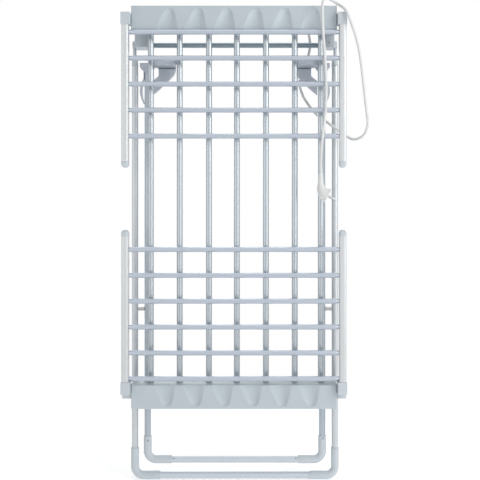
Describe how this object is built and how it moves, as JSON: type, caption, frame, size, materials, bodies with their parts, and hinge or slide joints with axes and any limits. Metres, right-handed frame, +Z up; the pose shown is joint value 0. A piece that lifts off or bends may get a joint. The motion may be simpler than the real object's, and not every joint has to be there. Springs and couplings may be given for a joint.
{
  "type": "heated clothes airer",
  "caption": "Folding electric clothes airer: a rack of heated bars between two plastic housings, two fold-out wings, crossed folding legs and a mains cord.",
  "frame": {"origin": "on the floor under the middle of the folded airer, measured without its cord and plug", "axes": "+Z up, as the folded airer stands on end; +X to the right as seen from the front; -Y to the front, where the two wings are folded"},
  "size_m": [0.5854, 0.122, 1.1629],
  "materials": {
    "housing_plastic": "blue-grey moulded plastic",
    "joint_plastic": "blue-grey moulded plastic",
    "bar_silver": "satin silver",
    "leg_silver": "silver paint",
    "crossbar_grey": "dark grey paint",
    "lead_insulation": "silicone insulation",
    "terminal_plastic": "moulded",
    "fastener_steel": "plated",
    "cord_white": "matte white"
  },
  "bodies": {
    "rack": {"top_housing": "housing_plastic", "top_housing_cover": "housing_plastic", "bottom_housing": "housing_plastic", "bottom_housing_cover": "housing_plastic", "rack_bar_1": "bar_silver", "rack_bar_2": "bar_silver", "rack_bar_3": "bar_silver", "rack_bar_4": "bar_silver", "rack_bar_5": "bar_silver", "rack_bar_6": "bar_silver", "rack_bar_7": "bar_silver", "heating_lead": "lead_insulation", "terminal_block": "terminal_plastic", "thermal_cutout": "fastener_steel", "hinge_block_left": "joint_plastic", "hinge_block_right": "joint_plastic", "cord_gland": "cord_white", "cord": "cord_white", "plug": "cord_white"},
    "top_wing": {"top_wing_bar_1": "bar_silver", "top_wing_bar_2": "bar_silver", "top_wing_bar_3": "bar_silver", "top_wing_bar_4": "bar_silver", "top_wing_bar_5": "bar_silver", "top_wing_tube_left": "bar_silver", "top_wing_tube_right": "bar_silver", "top_wing_pivot_cap_left": "joint_plastic", "top_wing_pivot_cap_right": "joint_plastic", "top_wing_end_cap_left": "joint_plastic", "top_wing_end_cap_right": "joint_plastic"},
    "bottom_wing": {"bottom_wing_bar_1": "bar_silver", "bottom_wing_bar_2": "bar_silver", "bottom_wing_bar_3": "bar_silver", "bottom_wing_bar_4": "bar_silver", "bottom_wing_bar_5": "bar_silver", "bottom_wing_bar_6": "bar_silver", "bottom_wing_tube_left": "bar_silver", "bottom_wing_tube_right": "bar_silver", "bottom_wing_pivot_cap_left": "joint_plastic", "bottom_wing_pivot_cap_right": "joint_plastic", "bottom_wing_end_cap_left": "joint_plastic", "bottom_wing_end_cap_right": "joint_plastic"},
    "outer_leg": {"outer_leg_tube_left": "leg_silver", "outer_leg_tube_right": "leg_silver", "outer_leg_elbow_left": "joint_plastic", "outer_leg_elbow_right": "joint_plastic", "outer_leg_neck_left": "joint_plastic", "outer_leg_neck_right": "joint_plastic", "outer_leg_foot_tube": "leg_silver", "crossbar": "crossbar_grey"},
    "cradles": {"cradle_left": "joint_plastic", "cradle_right": "joint_plastic"},
    "inner_leg": {"inner_leg_tube_left": "leg_silver", "inner_leg_tube_right": "leg_silver", "inner_leg_elbow_left": "joint_plastic", "inner_leg_elbow_right": "joint_plastic", "inner_leg_head_left": "joint_plastic", "inner_leg_head_right": "joint_plastic", "inner_leg_foot_tube": "leg_silver"}
  },
  "joints": [
    {"name": "top_wing_fold", "type": "hinge", "parent": "rack", "child": "top_wing", "pos_m": [0, -0.015, 1.116], "axis": [-1, 0, 0], "range_deg": [0, 180], "deforming": ["cord"]},
    {"name": "bottom_wing_fold", "type": "hinge", "parent": "rack", "child": "bottom_wing", "pos_m": [0, -0.015, 0.222], "axis": [1, 0, 0], "range_deg": [0, 180]},
    {"name": "leg_fold", "type": "hinge", "parent": "rack", "child": "outer_leg", "pos_m": [0, 0.038, 1.065], "axis": [1, 0, 0], "range_deg": [0, 58]},
    {"name": "cradle_slide", "type": "slide", "parent": "rack", "child": "cradles", "axis": [0, 0, -1], "range_m": [0, 0.531]},
    {"name": "inner_leg_fold", "type": "hinge", "parent": "cradles", "child": "inner_leg", "pos_m": [0, 0.038, 1.0155], "axis": [1, 0, 0], "range_deg": [0, 114]}
  ],
  "couplings": [
    {"joint": "cradle_slide", "follows": "leg_fold", "m_per_rad": 0.52347},
    {"joint": "inner_leg_fold", "follows": "leg_fold", "ratio": 1.9538}
  ]
}
